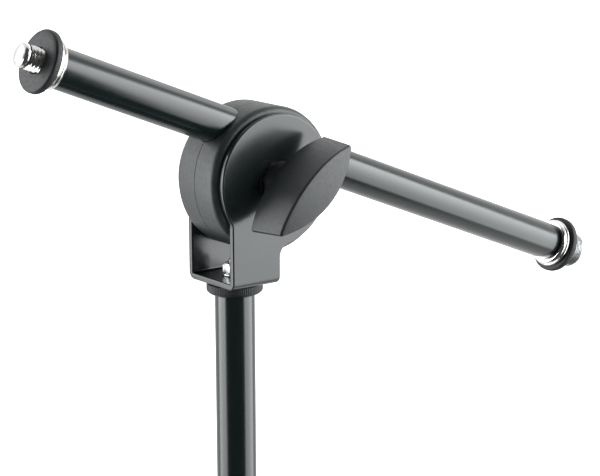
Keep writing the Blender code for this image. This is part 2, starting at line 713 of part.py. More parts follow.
def leaf_outline():
    """The face's two arcs, cut short of their crossing points by blunt tips on the X axis."""
    spread = acos((LEAF_RISE + KNOB_TIP / 2) / LEAF_RADIUS)
    tip = LEAF_RADIUS * sin(spread) + KNOB_TIP_ROUND
    upper = arc((0, -LEAF_RISE), LEAF_RADIUS, pi / 2 - spread, pi / 2 + spread, 18)
    lower = arc((0, LEAF_RISE), LEAF_RADIUS, pi * 1.5 - spread, pi * 1.5 + spread, 18)
    return upper + [(-tip, 0)] + lower + [(tip, 0)]


def draft(mesh):
    """Widens the back of the leaf all round, as on a moulding that has to leave its tool."""
    crossing = KNOB_LENGTH / 2
    longer = 1 + KNOB_DRAFT * LEAF_RADIUS / crossing**2
    wider = 1 + 2 * KNOB_DRAFT / KNOB_WIDTH
    for vertex in mesh.vertices:
        if vertex.co.z < 0:
            vertex.co.x *= longer
            vertex.co.y *= wider


def make_knob():
    """Leaf-shaped wing with a crowned face on a round hub, its hexagonal insert and its washer."""
    washer_face = KNOB_WASHER_BACK + KNOB_WASHER
    washer_radius = HUB_RADIUS - FINE_EDGE
    washer_profile = tube_profile(washer_radius, BOLT_RADIUS + GAP, KNOB_WASHER_BACK, washer_face)
    add_part("knob_washer", ring_of_revolution("knob_washer", washer_profile), ZINC, tilt_axis)

    turn = Matrix.Rotation(KNOB_ANGLE, 4, "Z")
    leaf = prism_mesh("wing_knob", leaf_outline(), KNOB_DEPTH)
    draft(leaf)
    leaf.transform(slide_z(KNOB_DEPTH / 2))
    knob = add_part("wing_knob", leaf, MOULDED_BLACK, tilt_axis, turn @ slide_z(KNOB_BACK))

    half_length = KNOB_LENGTH / 2
    crown_radius = (half_length**2 + KNOB_CROWN**2) / (2 * KNOB_CROWN)
    crown_profile = cylinder_profile(crown_radius, -KNOB_WIDTH, KNOB_WIDTH)
    crown_mesh = solid_of_revolution("knob_crown", crown_profile, 128)
    crown_middle = slide_z(KNOB_BACK + KNOB_DEPTH - crown_radius)
    crown_place = turn @ crown_middle @ Matrix.Rotation(pi / 2, 4, "X")
    boolean(knob, add_cutter("knob_crown", crown_mesh, tilt_axis, crown_place), "INTERSECT")

    hub_profile = cylinder_profile(HUB_RADIUS, HUB_BACK, KNOB_BACK + HUB_ROOT)
    hub_mesh = solid_of_revolution("knob_hub", hub_profile, 40)
    boolean(knob, add_cutter("knob_hub", hub_mesh, tilt_axis), "UNION")

    pocket_top = KNOB_BACK + KNOB_DEPTH * INSERT_SHARE
    insert_width = 2 * (BOLT_RADIUS + INSERT_WALL)
    pocket_outline = hexagon(insert_width + 2 * GAP)
    pocket_mesh = prism_mesh("insert_pocket", pocket_outline, 2 * (pocket_top - HUB_BACK))
    pocket = add_cutter("insert_pocket", pocket_mesh, tilt_axis, slide_z(HUB_BACK))
    boolean(knob, pocket, "DIFFERENCE")
    bore_top = KNOB_BACK + KNOB_DEPTH * BORE_SHARE
    bore_profile = cylinder_profile(BOLT_RADIUS + GAP, HUB_BACK - OVERRUN, bore_top)
    bore_mesh = solid_of_revolution("knob_bore", bore_profile, 24)
    boolean(knob, add_cutter("knob_bore", bore_mesh, tilt_axis), "DIFFERENCE")

    insert_bottom = HUB_BACK + GAP
    insert_height = pocket_top - GAP - insert_bottom
    insert_place = slide_z(insert_bottom + insert_height / 2)
    insert_mesh = prism_mesh("knob_insert", hexagon(insert_width), insert_height)
    insert = add_part("knob_insert", insert_mesh, BRASS, tilt_axis, insert_place)
    thread_profile = cylinder_profile(BOLT_RADIUS + SLIP, -insert_height, insert_height)
    thread_mesh = solid_of_revolution("insert_thread", thread_profile, 24)
    thread = add_cutter("insert_thread", thread_mesh, tilt_axis, insert_place)
    boolean(insert, thread, "DIFFERENCE")


def stud_profile():
    """Plug in the tube, twin-lipped flange and stud, with Z running outwards from the tube's end."""
    groove = FLANGE_RADIUS - FLANGE_GROOVE_DEPTH
    plug = BOOM_RADIUS - BOOM_WALL - SLIP
    first = GAP
    last = FLANGE_THICKNESS
    middle = (first + last) / 2
    return [
        (0, STUD_LENGTH),
        (STUD_RADIUS - STUD_CHAMFER, STUD_LENGTH),
        (STUD_RADIUS, STUD_LENGTH - STUD_CHAMFER),
        (STUD_RADIUS, last),
        (FLANGE_RADIUS - FLANGE_EDGE, last),
        (FLANGE_RADIUS, last - FLANGE_EDGE),
        (FLANGE_RADIUS, middle + FLANGE_EDGE),
        (groove, middle),
        (FLANGE_RADIUS - FLANGE_EDGE / 2, middle - FLANGE_EDGE),
        (FLANGE_RADIUS - 2 * FLANGE_EDGE, first),
        (plug, first),
        (plug, -PLUG_DEPTH),
        (0, -PLUG_DEPTH),
    ]


def make_boom():
    """Steel tube with a threaded insert and a lock ring at each end, and a thread adapter at the rear."""
    tube = ring_of_revolution(
        "boom_tube", tube_profile(BOOM_RADIUS, BOOM_RADIUS - BOOM_WALL, -MIC_REACH, REAR_REACH), 40
    )
    add_part("boom_tube", tube, GLOSS_BLACK, boom_axis)

    ring_back = FLANGE_THICKNESS + GAP / 2
    ring_face = ring_back + LOCK_RING_THICKNESS
    ring_crest = ring_face + LOCK_RING_RISE
    ring_bore = STUD_RADIUS + SLIP
    ring_profile = [
        (ring_bore, ring_crest),
        (LOCK_RING_RADIUS / 2, ring_crest),
        (LOCK_RING_RADIUS - FINE_EDGE, ring_face),
        (LOCK_RING_RADIUS, ring_face - FINE_EDGE),
        (LOCK_RING_RADIUS, ring_back + GAP),
        (LOCK_RING_RADIUS - GAP, ring_back),
        (ring_bore, ring_back),
    ]
    for side, end in (("mic", mic_end), ("rear", rear_end)):
        name = f"{side}_end_insert"
        add_part(name, solid_of_revolution(name, stud_profile(), 24), CHROME, end)
        name = f"{side}_end_lock_ring"
        add_part(name, ring_of_revolution(name, ring_profile, 32), MOULDED_BLACK, end)

    adapter_start = ring_crest + GAP / 2
    adapter_end = adapter_start + ADAPTER_LENGTH
    adapter_bore = STUD_RADIUS + SLIP
    adapter_profile = [
        (adapter_bore + FINE_EDGE, adapter_end),
        (ADAPTER_RADIUS - FINE_EDGE, adapter_end),
        (ADAPTER_RADIUS, adapter_end - FINE_EDGE),
        (ADAPTER_RADIUS, adapter_start),
        (adapter_bore, adapter_start),
        (adapter_bore, adapter_end - FINE_EDGE),
    ]
    adapter_mesh = ring_of_revolution("rear_thread_adapter", adapter_profile, 28)
    adapter = add_part("rear_thread_adapter", adapter_mesh, ZINC, rear_end)
    slot_mesh = box_mesh("adapter_slot", (ADAPTER_SLOT, 4 * ADAPTER_RADIUS, 2 * ADAPTER_SLOT))
    slot = add_cutter("adapter_slot", slot_mesh, rear_end, slide_z(adapter_end))
    boolean(adapter, slot, "DIFFERENCE")


make_base()
make_socket_tube()
make_clutch()
make_rod()
make_bracket()
make_clamp()
make_knob()
make_boom()
bpy.context.view_layer.update()
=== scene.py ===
"""Looks of the boom microphone stand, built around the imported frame, from the base up to the boom."""

import json
from math import acos, atan2, ceil, cos, pi, radians, sin, sqrt, tan

import bmesh
import bpy
from mathutils import Matrix, Vector


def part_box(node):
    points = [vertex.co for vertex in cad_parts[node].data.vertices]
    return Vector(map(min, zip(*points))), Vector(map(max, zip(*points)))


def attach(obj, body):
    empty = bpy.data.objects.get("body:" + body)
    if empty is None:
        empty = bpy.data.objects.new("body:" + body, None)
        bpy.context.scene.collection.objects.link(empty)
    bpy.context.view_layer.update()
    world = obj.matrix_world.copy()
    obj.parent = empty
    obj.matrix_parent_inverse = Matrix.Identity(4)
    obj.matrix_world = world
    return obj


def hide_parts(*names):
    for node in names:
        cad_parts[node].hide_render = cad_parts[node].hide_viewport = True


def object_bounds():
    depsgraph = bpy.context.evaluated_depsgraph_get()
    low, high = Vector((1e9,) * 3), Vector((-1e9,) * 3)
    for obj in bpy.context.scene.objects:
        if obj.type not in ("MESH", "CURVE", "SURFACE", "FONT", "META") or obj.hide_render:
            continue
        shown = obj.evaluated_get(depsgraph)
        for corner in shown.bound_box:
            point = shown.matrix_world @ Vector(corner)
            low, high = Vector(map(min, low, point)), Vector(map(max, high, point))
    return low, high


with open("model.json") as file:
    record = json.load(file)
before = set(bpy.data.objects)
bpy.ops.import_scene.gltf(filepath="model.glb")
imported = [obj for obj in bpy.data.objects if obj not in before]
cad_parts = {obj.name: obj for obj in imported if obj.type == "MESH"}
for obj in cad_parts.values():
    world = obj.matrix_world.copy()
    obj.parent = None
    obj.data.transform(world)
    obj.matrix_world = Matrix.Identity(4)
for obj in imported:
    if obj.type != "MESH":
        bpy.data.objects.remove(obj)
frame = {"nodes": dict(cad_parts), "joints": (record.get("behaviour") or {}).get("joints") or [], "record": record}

cad_low, cad_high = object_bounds()

# ---------------------------------------------------------------------------------------------------------
# Studio. A long lens looks at the head from the knob side and a little above, between two tall soft panels.
# A weak one hangs high at the rear right and a small one beside the left, over a plain pale floor that glows
# with painted light, weaker beside the stand. The surroundings are white to the lens, and darker behind it.
# ---------------------------------------------------------------------------------------------------------
camera = bpy.data.objects.new("camera", bpy.data.cameras.new("camera"))
camera.data.lens = 128.6
camera.location = (-0.4841, -0.66882, 0.52081)
aim = Vector((0.01717, -0.02027, 0.33719)) - camera.location
roll = Matrix.Rotation(radians(-0.25), 3, "Z")
camera.rotation_mode = "QUATERNION"
camera.rotation_quaternion = aim.to_track_quat("-Z", "Y") @ roll.to_quaternion()
bpy.context.scene.collection.objects.link(camera)
bpy.context.scene.camera = camera
bpy.context.scene.view_settings.view_transform = "Standard"

head_centre = Vector((0.01, 0, 0.36))


def soft_panel(
    name, azimuth, elevation, distance, half_across, half_up, radiance, foot_share
):
    """A soft box that faces the head, and fades towards its edges and down to foot_share at its lower edge.

    The azimuth is measured from +X towards +Y. The half angles are what the box spans, seen from the head.
    """
    light = bpy.data.lights.new(name, "AREA")
    light.shape = "RECTANGLE"
    light.size = 2 * distance * tan(radians(half_across))
    light.size_y = 2 * distance * tan(radians(half_up))
    light.energy = radiance * pi * light.size * light.size_y
    light.color = (0.965, 0.985, 1.0)
    lamp = bpy.data.objects.new(name, light)
    around, up = radians(azimuth), radians(elevation)
    outward = Vector((cos(around) * cos(up), sin(around) * cos(up), sin(up)))
    lamp.location = head_centre + outward * distance
    lamp.rotation_mode = "QUATERNION"
    lamp.rotation_quaternion = outward.to_track_quat("Z", "Y")
    lamp.visible_camera = False
    bpy.context.scene.collection.objects.link(lamp)

    light.use_nodes = True
    nodes, links = light.node_tree.nodes, light.node_tree.links
    surface = nodes.new("ShaderNodeNewGeometry")
    across_up = nodes.new("ShaderNodeSeparateXYZ")
    links.new(surface.outputs["Parametric"], across_up.inputs[0])

    def ranged(source, low, high, start, end):
        part = nodes.new("ShaderNodeMapRange")
        part.interpolation_type = "SMOOTHSTEP"
        for field, value in (("From Min", low), ("From Max", high), ("To Min", start), ("To Max", end)):
            part.inputs[field].default_value = value
        links.new(source, part.inputs["Value"])
        return part.outputs["Result"]

    def product(first, second):
        part = nodes.new("ShaderNodeMath")
        part.operation = "MULTIPLY"
        links.new(first, part.inputs[0])
        links.new(second, part.inputs[1])
        return part.outputs["Value"]

    across, height = across_up.outputs["X"], across_up.outputs["Y"]
    strength = ranged(height, 0.1, 0.9, foot_share, 1.0)
    for side in (across, height):
        strength = product(strength, ranged(side, 0.0, 0.12, 0.0, 1.0))
        strength = product(strength, ranged(side, 1.0, 0.88, 0.0, 1.0))
    links.new(strength, nodes["Emission"].inputs["Strength"])


soft_panel("right_panel", -43, -3, 1.2, 32.5, 43, 8.4, 0.45)
soft_panel("left_panel", 153.5, -15, 1.2, 27.5, 29, 8.2, 0.45)
soft_panel("rear_panel", 32, 40, 1.3, 26, 14, 1.4, 0.8)
soft_panel("left_wing", 125, 18, 1.2, 13, 13, 5.0, 0.8)

world = bpy.data.worlds.new("studio")
bpy.context.scene.world = world
world.use_nodes = True
world_nodes, world_links = world.node_tree.nodes, world.node_tree.links
background = world_nodes["Background"]
direction = world_nodes.new("ShaderNodeTexCoord")
towards_front = world_nodes.new("ShaderNodeVectorMath")
towards_front.operation = "DOT_PRODUCT"
towards_front.inputs[1].default_value = (-0.61, -0.79, 0.0)
dimming = world_nodes.new("ShaderNodeMapRange")
dimming.interpolation_type = "SMOOTHSTEP"
dimming.inputs["From Min"].default_value = -0.10
dimming.inputs["From Max"].default_value = 0.25
dimming.inputs["To Min"].default_value = 1.2
dimming.inputs["To Max"].default_value = 0.08
seen = world_nodes.new("ShaderNodeLightPath")
whiten = world_nodes.new("ShaderNodeMath")
whiten.operation = "MAXIMUM"
world_links.new(direction.outputs["Generated"], towards_front.inputs[0])
world_links.new(towards_front.outputs["Value"], dimming.inputs["Value"])
world_links.new(dimming.outputs["Result"], whiten.inputs[0])
world_links.new(seen.outputs["Is Camera Ray"], whiten.inputs[1])
world_links.new(whiten.outputs["Value"], background.inputs["Strength"])
background.inputs["Color"].default_value = (1, 1, 1, 1)

floor_mesh = bpy.data.meshes.new("floor")
disc = bmesh.new()
bmesh.ops.create_circle(disc, cap_ends=True, radius=20, segments=64)
disc.to_mesh(floor_mesh)
disc.free()
floor = bpy.data.objects.new("floor", floor_mesh)
floor.location.z = cad_low.z - 0.0002
floor.visible_glossy = False
bpy.context.scene.collection.objects.link(floor)
floor_paint = bpy.data.materials.new("pale_self_lit_floor")
floor_paint.use_nodes = True
floor_shader = floor_paint.node_tree.nodes["Principled BSDF"]
floor_shader.inputs["Base Color"].default_value = (0.82, 0.82, 0.82, 1)
floor_shader.inputs["Roughness"].default_value = 0.9
floor_shader.inputs["Specular IOR Level"].default_value = 0.0
# Painted light: the floor glows by its own emission, weak beside the stand and full from about half a metre out,
# so the far floor shows white.
floor_shader.inputs["Emission Color"].default_value = (1, 1, 1, 1)
floor_place = floor_paint.node_tree.nodes.new("ShaderNodeTexCoord")
from_stand = floor_paint.node_tree.nodes.new("ShaderNodeVectorMath")
from_stand.operation = "LENGTH"
glow = floor_paint.node_tree.nodes.new("ShaderNodeMapRange")
glow.inputs["From Min"].default_value = 0.12
glow.inputs["From Max"].default_value = 0.55
glow.inputs["To Min"].default_value = 0.15
glow.inputs["To Max"].default_value = 1.0
floor_paint.node_tree.links.new(floor_place.outputs["Object"], from_stand.inputs[0])
floor_paint.node_tree.links.new(from_stand.outputs["Value"], glow.inputs["Value"])
floor_paint.node_tree.links.new(glow.outputs["Result"], floor_shader.inputs["Emission Strength"])
floor_mesh.materials.append(floor_paint)

# ---------------------------------------------------------------------------------------------------------
# Base. A round cast-iron plate with a low dome and a boss, under black structured paint, on a thin rubber
# sole. The casting is turned on its rim and underside and painted over, so its rough skin shows through.
# ---------------------------------------------------------------------------------------------------------
bodies = frame["record"]["behaviour"]["bodies"]
body_of_node = {node: body for body, members in bodies.items() for node in members}
joints = {joint["name"]: joint for joint in frame["joints"]}


def softened(profile, radius, steps=4, closed=False):
    """The profile with each corner rounded off, by no more than 0.4 of the shorter line beside it."""
    points = [Vector(point) for point in profile]
    count = len(points)
    rounded = []
    for index, point in enumerate(points):
        if not closed and index in (0, count - 1):
            rounded.append(point)
            continue
        before, after = points[index - 1] - point, points[(index + 1) % count] - point
        cut = min(radius, 0.4 * before.length, 0.4 * after.length)
        start, end = point + before.normalized() * cut, point + after.normalized() * cut
        if before.angle(after) > radians(165):
            rounded.append(point)
            continue
        for step in range(steps + 1):
            t = step / steps
            rounded.append(start * (1 - t) ** 2 + point * 2 * t * (1 - t) + end * t**2)
    return [(point.x, point.y) for point in rounded]


def turned(name, profile, steps=96, closed=False, shaped=None):
    """A profile of (radius, height) points turned about Z, running down the outer side.

    shaped(angle, radius, height) may change the radius, as for a knurl or a flute.
    """
    work = bmesh.new()
    rings = []
    for radius, height in profile:
        if radius < 1e-7:
            rings.append([work.verts.new((0, 0, height))])
            continue
        ring = []
        for step in range(steps):
            angle = 2 * pi * step / steps
            reach = shaped(angle, radius, height) if shaped else radius
            ring.append(work.verts.new((reach * cos(angle), reach * sin(angle), height)))
        rings.append(ring)
    pairs = list(zip(rings, rings[1:]))
    if closed:
        pairs.append((rings[-1], rings[0]))
    for upper, lower in pairs:
        for step in range(steps):
            following = (step + 1) % steps
            if len(upper) == 1 and len(lower) == 1:
                continue
            if len(upper) == 1:
                work.faces.new((upper[0], lower[step], lower[following]))
            elif len(lower) == 1:
                work.faces.new((upper[step], lower[0], upper[following]))
            else:
                work.faces.new((upper[step], lower[step], lower[following], upper[following]))
    mesh = bpy.data.meshes.new(name)
    work.to_mesh(mesh)
    work.free()
    return mesh


def smooth(mesh, angle=32):
    mesh.shade_smooth()
    mesh.set_sharp_from_angle(angle=radians(angle))


def stand_for(node, mesh, material, placed=Matrix.Identity(4), sharp=32):
    """A finished piece that takes the place and the body of its CAD node, with the given material, and hides the
    node.
    """
    mesh.transform(placed)
    smooth(mesh, sharp)
    mesh.materials.append(material)
    piece = bpy.data.objects.new(node + "_finished", mesh)
    bpy.context.scene.collection.objects.link(piece)
    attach(piece, body_of_node[node])
    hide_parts(node)
    return piece


def dress(node, material, sharp=32):
    """Gives a CAD node that is shown as it is its finish."""
    mesh = frame["nodes"][node].data
    mesh.materials.clear()
    mesh.materials.append(material)
    smooth(mesh, sharp)


class Finish:
    """A Principled surface whose nodes are added one effect at a time, in the object's own coordinates."""

    def __init__(self, name, colour, roughness, metallic=0.0, specular=0.5):
        self.material = bpy.data.materials.new(name)
        self.material.use_nodes = True
        self.tree = self.material.node_tree
        self.shader = self.tree.nodes["Principled BSDF"]
        self.shader.inputs["Base Color"].default_value = (*colour, 1)
        self.shader.inputs["Roughness"].default_value = roughness
        self.shader.inputs["Metallic"].default_value = metallic
        self.shader.inputs["Specular IOR Level"].default_value = specular
        self.place = self.tree.nodes.new("ShaderNodeTexCoord")
        self.last_bump = None

    def noise(self, size, detail=3.0):
        """A noise whose features are about size metres across."""
        noise = self.tree.nodes.new("ShaderNodeTexNoise")
        noise.inputs["Scale"].default_value = 1 / size
        noise.inputs["Detail"].default_value = detail
        noise.inputs["Roughness"].default_value = 0.55
        self.tree.links.new(self.place.outputs["Object"], noise.inputs["Vector"])
        return noise.outputs["Fac"]

    def cells(self, size):
        """A leathery grain of rounded cells about size metres across."""
        cells = self.tree.nodes.new("ShaderNodeTexVoronoi")
        cells.feature = "SMOOTH_F1"
        cells.inputs["Scale"].default_value = 1 / size
        cells.inputs["Randomness"].default_value = 1.0
        self.tree.links.new(self.place.outputs["Object"], cells.inputs["Vector"])
        return cells.outputs["Distance"]

    def mottle(self, pattern, dark, light, low=0.35, high=0.65):
        """Lets the colour wander between two tones."""
        ramp = self.tree.nodes.new("ShaderNodeValToRGB")
        ramp.color_ramp.elements[0].position = low
        ramp.color_ramp.elements[0].color = (*dark, 1)
        ramp.color_ramp.elements[1].position = high
        ramp.color_ramp.elements[1].color = (*light, 1)
        self.tree.links.new(pattern, ramp.inputs["Fac"])
        self.tree.links.new(ramp.outputs["Color"], self.shader.inputs["Base Color"])

    def sheen_of(self, pattern, smoothest, roughest, low=0.3, high=0.7):
        """Lets the roughness wander between two values."""
        spread = self.tree.nodes.new("ShaderNodeMapRange")
        spread.inputs["From Min"].default_value = low
        spread.inputs["From Max"].default_value = high
        spread.inputs["To Min"].default_value = smoothest
        spread.inputs["To Max"].default_value = roughest
        self.tree.links.new(pattern, spread.inputs["Value"])
        self.tree.links.new(spread.outputs["Result"], self.shader.inputs["Roughness"])

    def relief(self, pattern, height, strength=1.0):
        """A bump of about this height in metres, on top of any before it."""
        bump = self.tree.nodes.new("ShaderNodeBump")
        bump.inputs["Strength"].default_value = strength
        bump.inputs["Distance"].default_value = height
        self.tree.links.new(pattern, bump.inputs["Height"])
        if self.last_bump:
            self.tree.links.new(self.last_bump.outputs["Normal"], bump.inputs["Normal"])
        self.tree.links.new(bump.outputs["Normal"], self.shader.inputs["Normal"])
        self.last_bump = bump


cast_paint = Finish("structured_black_on_iron", (0.02, 0.02, 0.021), 0.42)
cast_paint.mottle(cast_paint.noise(0.004), (0.013, 0.013, 0.014), (0.026, 0.026, 0.027))
cast_paint.sheen_of(cast_paint.noise(0.0016), 0.34, 0.52)
cast_paint.relief(cast_paint.cells(0.0016), 0.00022, 0.7)
cast_paint.relief(cast_paint.noise(0.0005, 2), 0.00005, 0.6)

base_low, base_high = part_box("base_casting")
base_radius = base_high.x
casting_underside = base_low.z
boss_top = base_high.z
boss_radius = 0.0165
socket_radius = 0.01015
socket_floor = casting_underside + 0.0108
crown = casting_underside + 0.0125
rim = casting_underside + 0.0075
screw_recess_radius = 0.0125
screw_recess_top = casting_underside + 0.0075
screw_hole_radius = 0.0045
dome_start = boss_radius + 0.003
dome_end = base_radius - 0.0035


def dome_height(radius):
    """The plate's top, a shallow arc from the boss's foot to the rim."""
    share = (radius - boss_radius) / (base_radius - boss_radius)
    return crown + (rim - crown) * share**1.6


dome = [dome_start + (dome_end - dome_start) * step / 14 for step in range(15)]
casting_profile = [
    (socket_radius, socket_floor),
    (socket_radius, boss_top),
    (boss_radius - 0.001, boss_top),
    (boss_radius, boss_top - 0.001),
    (boss_radius + 0.0008, crown + 0.0015),
    *[(radius, min(dome_height(radius), crown)) for radius in dome],
    (base_radius - 0.0010, rim - 0.0011),
    (base_radius, rim - 0.0035),
    (base_radius, casting_underside + 0.0015),
    (base_radius - 0.0015, casting_underside),
    (screw_recess_radius, casting_underside),
    (screw_recess_radius, screw_recess_top),
    (screw_hole_radius, screw_recess_top),
    (screw_hole_radius, socket_floor),
]
casting_mesh = turned("base_casting", softened(casting_profile, 0.0008, 3, closed=True), 160, closed=True)
stand_for("base_casting", casting_mesh, cast_paint.material)

sole_rubber = Finish("sole_rubber", (0.018, 0.018, 0.018), 0.82)
sole_rubber.mottle(sole_rubber.noise(0.006), (0.012, 0.012, 0.012), (0.026, 0.026, 0.027))
sole_rubber.relief(sole_rubber.noise(0.0004, 2), 0.00008, 0.7)
sole_low, sole_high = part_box("base_sole")
sole_radius = sole_high.x
groove_mouth, groove_top, groove_depth = 0.0012, 0.0006, 0.0008
sole_profile = [(0, sole_high.z), (sole_radius, sole_high.z), (sole_radius, sole_low.z)]
for middle in (0.090, 0.075, 0.060):
    sole_profile += [
        (middle + groove_mouth, sole_low.z),
        (middle + groove_top, sole_low.z + groove_depth),
        (middle - groove_top, sole_low.z + groove_depth),
        (middle - groove_mouth, sole_low.z),
    ]
sole_profile.append((0, sole_low.z))
stand_for("base_sole", turned("base_sole", softened(sole_profile, 0.0004, 2), 128), sole_rubber.material)

# ---------------------------------------------------------------------------------------------------------
# Fixings of the base. A zinc-plated hexagon screw and its washer pull the column down into the boss from
# underneath, through a threaded plug in the foot of the lower tube.
# ---------------------------------------------------------------------------------------------------------
zinc = Finish("bright_zinc_plate", (0.45, 0.455, 0.465), 0.28, 1.0)
zinc.mottle(zinc.noise(0.003), (0.40, 0.405, 0.42), (0.50, 0.505, 0.51))
zinc.sheen_of(zinc.noise(0.0006, 4), 0.22, 0.36)
zinc.relief(zinc.noise(0.0002, 2), 0.00001, 0.5)
for node in ("base_screw", "base_washer", "tube_foot_insert"):
    dress(node, zinc.material)

# ---------------------------------------------------------------------------------------------------------
# Column tubes. Drawn steel tube, 20 mm below and 16 mm above, in stoved gloss black. The lacquer shows a
# faint orange peel and the odd fine rub from being slid.
# ---------------------------------------------------------------------------------------------------------
lacquer = Finish("gloss_black_lacquer", (0.0022, 0.0055, 0.0054), 0.2)
lacquer.mottle(lacquer.noise(0.02, 2), (0.0018, 0.0050, 0.0049), (0.0026, 0.0060, 0.0060))
lacquer.sheen_of(lacquer.noise(0.004, 3), 0.18, 0.23)
lacquer.relief(lacquer.noise(0.004, 1), 0.000003, 0.5)


def tube(node, bore):
    """A round tube as long as its node, along Z, with softly broken edges at both ends."""
    low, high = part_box(node)
    radius = high.x
    profile = [(radius, high.z), (radius, low.z), (bore, low.z), (bore, high.z)]
    return turned(node, softened(profile, 0.0003, 3, closed=True), 96, closed=True)


stand_for("lower_tube", tube("lower_tube", bore=0.0086), lacquer.material)
stand_for("upper_rod", tube("upper_rod", bore=0.00675), lacquer.material)

nylon = Finish("moulded_black_nylon", (0.0032, 0.0052, 0.0055), 0.34)
nylon.mottle(nylon.noise(0.006, 4), (0.0026, 0.0043, 0.0046), (0.0044, 0.0066, 0.0070))
nylon.sheen_of(nylon.noise(0.0012, 3), 0.30, 0.40)
nylon.relief(nylon.noise(0.00035, 2), 0.00003, 0.8)
dress("rod_end_plug", nylon.material)

collar_low, collar_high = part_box("foot_collar")
collar_height = collar_high.z - collar_low.z
collar_bore = socket_radius
collar_profile = [
    (collar_bore + 0.0010, collar_high.z),
    (collar_bore + 0.0022, collar_high.z - 0.0004),
    (collar_high.x - 0.0016, collar_low.z + collar_height * 0.55),
    (collar_high.x, collar_low.z + collar_height * 0.25),
    (collar_high.x, collar_low.z),
    (collar_bore, collar_low.z),
    (collar_bore, collar_high.z),
]
collar_mesh = turned("foot_collar", softened(collar_profile, 0.0008, 4, closed=True), 96, closed=True)
stand_for("foot_collar", collar_mesh, nylon.material)

# ---------------------------------------------------------------------------------------------------------
# Height clutch. A fluted rubber-skinned grip screws down on a threaded sleeve and squeezes a split collet
# on to the rod. Only the grip shows, with the sleeve's edge just under it.
# ---------------------------------------------------------------------------------------------------------
grip_rubber = Finish("grip_rubber", (0.022, 0.022, 0.023), 0.68)
grip_rubber.mottle(grip_rubber.noise(0.008), (0.018, 0.018, 0.019), (0.028, 0.028, 0.029))
grip_rubber.sheen_of(grip_rubber.noise(0.002), 0.60, 0.76)
grip_rubber.relief(grip_rubber.noise(0.0003, 2), 0.00005, 0.8)

grip_low, grip_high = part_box("clutch_grip")
grip_radius = 0.0145
flute_count = 10
flute_depth = 0.0009
flute_half_angle = 0.42 * pi / flute_count
flute_low, flute_high = grip_low.z + 0.0030, grip_high.z - 0.0080
flute_run_out = 0.003
mouth_radius = 0.0083
collet_cone_radius = 0.0097
inside_radius = 0.0123


def fluted(angle, radius, height):
    """Scoops run along the grip's side and fade out at both ends."""
    if radius < grip_radius - 0.0006:
        return radius
    pitch = 2 * pi / flute_count
    offset = abs((angle % pitch) - pitch / 2)
    across = max(0.0, 1 - (offset / flute_half_angle) ** 2)
    from_ends = min(height - flute_low, flute_high - height)
    along = max(0.0, min(1.0, from_ends / flute_run_out))
    return radius - flute_depth * across * along * (2 - along)


grip_side = [grip_high.z - 0.0070 - (grip_high.z - grip_low.z - 0.0082) * step / 24 for step in range(25)]
grip_profile = [
    (mouth_radius, grip_high.z),
    (0.0104, grip_high.z),
    (0.0112, grip_high.z - 0.0008),
    (0.0130, grip_high.z - 0.0040),
    (0.0141, grip_high.z - 0.0058),
    *[(grip_radius, height) for height in grip_side],
    (grip_radius - 0.0004, grip_low.z + 0.0004),
    (grip_radius - 0.0012, grip_low.z),
    (inside_radius, grip_low.z),
    (inside_radius, grip_high.z - 0.0180),
    (collet_cone_radius, grip_high.z - 0.0090),
    (mouth_radius, grip_high.z - 0.0085),
]
grip_profile = softened(grip_profile, 0.0005, 3, closed=True)
grip_mesh = turned("clutch_grip", grip_profile, 240, closed=True, shaped=fluted)
stand_for("clutch_grip", grip_mesh, grip_rubber.material, sharp=50)
dress("clutch_collet", nylon.material)

powder = Finish("satin_black_powder_coat", (0.0060, 0.0088, 0.0094), 0.21, specular=0.54)
powder.mottle(powder.noise(0.010, 3), (0.0052, 0.0079, 0.0085), (0.0068, 0.0097, 0.0103))
powder.sheen_of(powder.noise(0.006, 2), 0.19, 0.23)
dress("clutch_sleeve", powder.material)

# ---------------------------------------------------------------------------------------------------------
# Top of the rod. A plug pressed into the tube carries a short shoulder and a 5 mm stud. A knurled nylon
# ring turns on the shoulder under the bracket, and a washer and a thin nut hold the bracket down.
# ---------------------------------------------------------------------------------------------------------
def screw_thread(root, crest, pitch, start, end, fade):
    """A radius that follows a right-hand thread between two heights, and fades to its root at both."""

    def shaped(angle, radius, height):
        if not start < height < end or radius < root - 1e-6:
            return radius
        phase = ((height - start) / pitch - angle / (2 * pi)) % 1.0
        flank = min(1.0, max(0.0, 1.25 * (1 - abs(2 * phase - 1)) - 0.1))
        strength = min(1.0, (height - start) / fade, (end - height) / fade)
        return root + (crest - root) * flank * max(0.0, strength)

    return shaped


def spaced(radius, top, bottom, gap):
    """Points down a straight side, close enough together to carry a thread."""
    count = max(2, ceil((top - bottom) / gap))
    return [(radius, top + (bottom - top) * step / count) for step in range(count + 1)]


insert_low, insert_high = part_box("rod_top_insert")
stud_radius = 0.0025
stud_root = stud_radius - 0.0004
stud_pitch = 0.0008
stud_tip = insert_high.z - 0.0004
plug_radius = 0.0066
shoulder_radius = 0.0051
shoulder_top = 0.31843
plug_top = 0.31363
insert_profile = [
    (0, insert_high.z),
    (stud_radius - 0.0009, insert_high.z),
    *spaced(stud_root, stud_tip, shoulder_top + 0.0004, stud_pitch / 10),
    (stud_root, shoulder_top),
    (shoulder_radius, shoulder_top),
    (shoulder_radius, plug_top),
    (plug_radius, plug_top),
    (plug_radius, insert_low.z),
    (0, insert_low.z),
]
stud_thread = screw_thread(stud_root, stud_radius, stud_pitch, shoulder_top + 0.001, stud_tip, 0.0006)
insert_mesh = turned("rod_top_insert", insert_profile, 64, shaped=stud_thread)
stand_for("rod_top_insert", insert_mesh, zinc.material, sharp=60)


